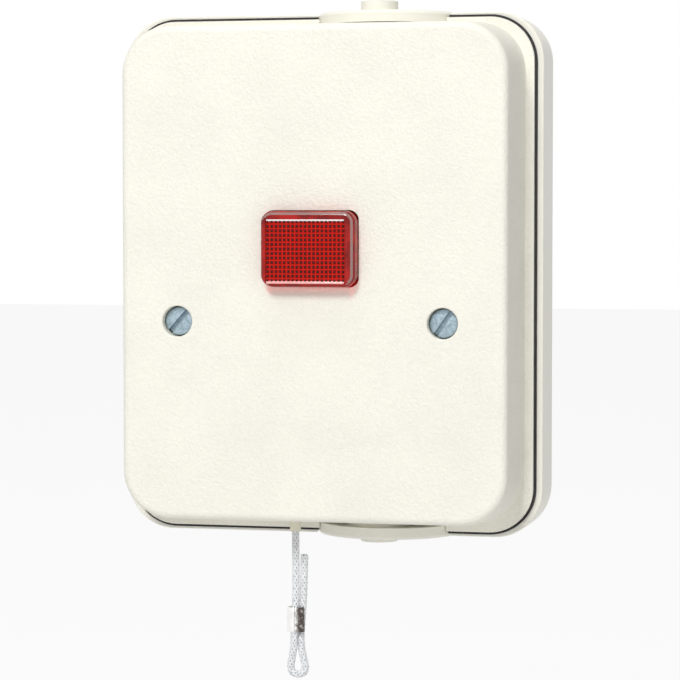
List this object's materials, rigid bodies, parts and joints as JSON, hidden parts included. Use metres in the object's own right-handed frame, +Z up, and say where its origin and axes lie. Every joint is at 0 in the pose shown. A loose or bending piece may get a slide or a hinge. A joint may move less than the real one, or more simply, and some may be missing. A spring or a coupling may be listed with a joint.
{
  "type": "pull cord switch",
  "caption": "Sealed surface-mounted pull cord switch with a lit lens, cable entries above and below, and a looped cord that works a lever and contacts inside.",
  "frame": {"origin": "centre of the base's flat back face, the face that lies on the wall", "axes": "+Z up, towards the top cable entry; +Y out of the back face into the wall, so the front faces -Y; +X to the right seen from the front"},
  "size_m": [0.0966, 0.036, 0.152],
  "materials": {
    "base_box": "satin moulded",
    "cover_seal": "matt",
    "front_cover": "fine pebbled texture",
    "top_entry_grommet": "satin",
    "bottom_entry_grommet": "satin",
    "indicator_lens": "clear red over a prismatic back",
    "lens_clip": "sheared strip",
    "cover_screws": "zinc plated",
    "sealing_washers": "matt",
    "threaded_inserts": "turned",
    "pull_cord": "braided",
    "cord_knot": "braided",
    "cord_bush": "smooth",
    "crimp_ferrule": "folded strip",
    "switch_block": "moulded",
    "switch_block_plate": "moulded",
    "switch_block_screws": "zinc plated",
    "lever_pin": "ground",
    "pull_lever": "moulded",
    "contact_slider": "moulded",
    "moving_contact": "stamped",
    "fixed_contacts": "stamped",
    "return_spring": "drawn wire",
    "contact_spring": "drawn wire",
    "terminals": "milled",
    "terminal_screws": "zinc plated",
    "lamp_socket": "moulded",
    "socket_screws": "zinc plated",
    "lamp_cap": "drawn",
    "lamp_bulb": "clear",
    "lamp_lead_front": "sleeved wire",
    "lamp_lead_back": "sleeved wire"
  },
  "bodies": {
    "casing": {"base_box": "base_box", "cover_seal": "cover_seal", "front_cover": "front_cover", "top_entry_grommet": "top_entry_grommet", "bottom_entry_grommet": "bottom_entry_grommet", "indicator_lens": "indicator_lens", "lens_clip": "lens_clip", "cover_screws": "cover_screws", "sealing_washers": "sealing_washers", "threaded_inserts": "threaded_inserts", "cord_bush": "cord_bush", "switch_block": "switch_block", "switch_block_plate": "switch_block_plate", "switch_block_screws": "switch_block_screws", "lever_pin": "lever_pin", "fixed_contacts": "fixed_contacts", "return_spring": "return_spring", "terminals": "terminals", "terminal_screws": "terminal_screws", "lamp_socket": "lamp_socket", "socket_screws": "socket_screws", "lamp_cap": "lamp_cap", "lamp_bulb": "lamp_bulb", "lamp_lead_front": "lamp_lead_front", "lamp_lead_back": "lamp_lead_back"},
    "cord": {"pull_cord": "pull_cord", "crimp_ferrule": "crimp_ferrule", "cord_knot": "cord_knot"},
    "lever": {"pull_lever": "pull_lever"},
    "slider": {"contact_slider": "contact_slider", "moving_contact": "moving_contact", "contact_spring": "contact_spring"}
  },
  "joints": [
    {"name": "cord_pull", "type": "slide", "parent": "casing", "child": "cord", "axis": [0, 0, -1], "range_m": [0, 0.00825], "stiffness_N_per_m": 800, "springref_m": -0.006},
    {"name": "lever_swing", "type": "hinge", "parent": "casing", "child": "lever", "pos_m": [-0.0347, -0.02, -0.024], "axis": [0, 1, 0], "range_deg": [0, 17]},
    {"name": "slider_push", "type": "slide", "parent": "casing", "child": "slider", "axis": [0, 0, -1], "range_m": [0, 0.00301], "deforming": ["return_spring"]}
  ],
  "couplings": [
    {"joint": "lever_swing", "follows": "cord_pull", "rad_per_m": 35.845},
    {"joint": "slider_push", "follows": "cord_pull", "ratio": 0.36429}
  ]
}
